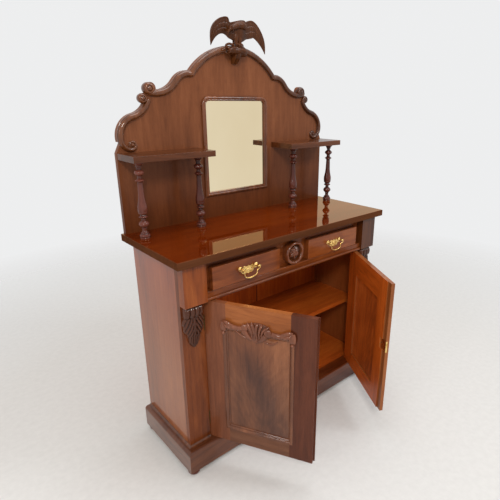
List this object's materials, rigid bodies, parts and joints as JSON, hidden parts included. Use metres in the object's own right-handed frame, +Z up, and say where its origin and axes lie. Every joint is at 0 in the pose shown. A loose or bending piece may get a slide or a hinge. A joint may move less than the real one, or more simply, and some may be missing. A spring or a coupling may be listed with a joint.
{
  "type": "chiffonier",
  "caption": "Victorian mahogany chiffonier with drawers over a cupboard, carved corbels and door crests, and a scrolled mirror back with small shelves on turned spindles and an eagle finial.",
  "frame": {"origin": "on the floor under the middle of the whole footprint with the doors as pictured, half open", "axes": "+X towards the viewer's right when facing the doors, +Y from front to back, +Z up from the floor"},
  "size_m": [1.117, 0.7598, 1.724],
  "materials": {
    "mahogany": "french polish, glossy",
    "mahogany_figured": "french polish, glossy",
    "mahogany_dark": "french polish, dark in the carving",
    "secondary_wood": "plain, dull",
    "brass": "worn polish",
    "mirror_silver": "silvered glass"
  },
  "bodies": {
    "carcass": {"back_boards": "secondary_wood", "back_panel": "mahogany", "base_cove_mouldings": "mahogany_dark", "bottom_board": "secondary_wood", "bun_feet": "mahogany", "corbel_left": "mahogany_dark", "corbel_right": "mahogany_dark", "crest_moulding_left": "mahogany_dark", "crest_moulding_right": "mahogany_dark", "cupboard_shelf": "secondary_wood", "drawer_rail": "mahogany", "drawer_runners": "secondary_wood", "eagle": "mahogany_dark", "eagle_perch": "mahogany_dark", "frieze_blocks": "mahogany_figured", "frieze_framing": "mahogany", "frieze_roundel": "mahogany_dark", "hinge_leaves_fixed": "brass", "mirror_backboard": "secondary_wood", "mirror_frame": "mahogany", "mirror_glass": "mirror_silver", "pilaster_left": "mahogany", "pilaster_right": "mahogany", "plinth_cap": "mahogany", "plinth_front": "mahogany", "plinth_returns": "mahogany", "shelf_bearers": "secondary_wood", "shelf_spindles": "mahogany_dark", "shoulder_scroll_left": "mahogany_dark", "shoulder_scroll_right": "mahogany_dark", "side_panel_left": "mahogany", "side_panel_right": "mahogany", "small_shelf_left": "mahogany", "small_shelf_right": "mahogany", "top_board": "mahogany", "top_rail": "mahogany"},
    "door_left": {"hinge_leaves_left": "brass", "closing_strip": "mahogany_dark", "door_crest_left": "mahogany_dark", "door_moulding_left": "mahogany_dark", "door_panel_left": "mahogany_figured", "door_rails_left": "mahogany", "door_stiles_left": "mahogany"},
    "door_right": {"hinge_leaves_right": "brass", "cupboard_lock": "brass", "door_crest_right": "mahogany_dark", "door_moulding_right": "mahogany_dark", "door_panel_right": "mahogany_figured", "door_rails_right": "mahogany", "door_stiles_right": "mahogany"},
    "drawer_left": {"drawer_front_left": "mahogany_figured", "drawer_box_left": "secondary_wood", "handle_plate_left": "brass"},
    "bail_left": {"handle_bail_left": "brass"},
    "drawer_right": {"drawer_front_right": "mahogany_figured", "drawer_box_right": "secondary_wood", "handle_plate_right": "brass"},
    "bail_right": {"handle_bail_right": "brass"},
    "lock_bolt": {"lock_bolt": "brass"}
  },
  "joints": [
    {"name": "door_left_hinge", "type": "hinge", "parent": "carcass", "child": "door_left", "pos_m": [-0.437, 0.00066, 0.4195], "axis": [0, 0, -1], "range_deg": [-62, 38]},
    {"name": "door_right_hinge", "type": "hinge", "parent": "carcass", "child": "door_right", "pos_m": [0.437, 0.00066, 0.4195], "axis": [0, 0, 1], "range_deg": [-60, 40]},
    {"name": "lock_bolt_slide", "type": "slide", "parent": "door_right", "child": "lock_bolt", "axis": [-0.5, -0.866, 0], "range_m": [0, 0.009]},
    {"name": "drawer_left_slide", "type": "slide", "parent": "carcass", "child": "drawer_left", "axis": [0, -1, 0], "range_m": [0, 0.25]},
    {"name": "bail_left_pivot", "type": "hinge", "parent": "drawer_left", "child": "bail_left", "pos_m": [-0.2445, -0.04214, 0.812], "axis": [-1, 0, 0], "range_deg": [-10, 85]},
    {"name": "drawer_right_slide", "type": "slide", "parent": "carcass", "child": "drawer_right", "axis": [0, -1, 0], "range_m": [0, 0.25]},
    {"name": "bail_right_pivot", "type": "hinge", "parent": "drawer_right", "child": "bail_right", "pos_m": [0.2445, -0.04214, 0.812], "axis": [-1, 0, 0], "range_deg": [-10, 85]}
  ]
}
